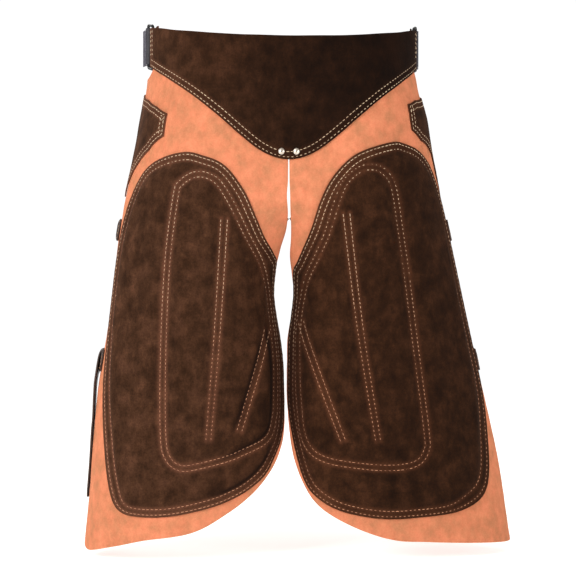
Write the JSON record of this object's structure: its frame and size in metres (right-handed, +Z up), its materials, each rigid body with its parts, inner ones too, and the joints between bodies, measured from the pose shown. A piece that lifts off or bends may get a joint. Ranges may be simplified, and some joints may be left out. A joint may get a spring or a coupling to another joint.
{
  "type": "farrier apron",
  "caption": "Split leather leg apron with a dark pointed yoke, quilted knee pads, hip knife pockets, leg straps and a webbing waist belt.",
  "frame": {"origin": "middle of the waist loop, level with the middle of the waist rings, where the wearer's waist holds the apron up", "axes": "+X to the picture's right (the wearer's left), +Y to the wearer's back, +Z up; the yoke and knee pads face -Y"},
  "size_m": [0.5855, 0.2644, 0.7169],
  "materials": {
    "tan_suede": "matt split suede, tan",
    "brown_suede": "matt oiled suede, dark brown",
    "strap_leather": "smooth dark brown strap leather",
    "black_webbing": "satin black woven webbing",
    "black_metal": "satin black coated steel",
    "nickel": "nickel plated"
  },
  "bodies": {
    "root": {"belt_left": "black_webbing", "belt_right": "black_webbing", "belt_slide": "black_metal", "knee_pad_left": "brown_suede", "knee_pad_right": "brown_suede", "knife_pocket_left": "brown_suede", "knife_pocket_right": "brown_suede", "leg_strap_lower_left": "strap_leather", "leg_strap_lower_right": "strap_leather", "leg_strap_upper_left": "strap_leather", "leg_strap_upper_right": "strap_leather", "panel_left": "tan_suede", "panel_right": "tan_suede", "ring_left": "black_metal", "ring_right": "black_metal", "rivet_left": "nickel", "rivet_right": "nickel", "rivet_washer_left": "nickel", "rivet_washer_right": "nickel", "strap_slide_lower_left": "black_metal", "strap_slide_lower_right": "black_metal", "strap_slide_upper_left": "black_metal", "strap_slide_upper_right": "black_metal", "strap_tab_lower_left": "strap_leather", "strap_tab_lower_right": "strap_leather", "strap_tab_upper_left": "strap_leather", "strap_tab_upper_right": "strap_leather", "yoke": "brown_suede"}
  },
  "joints": []
}
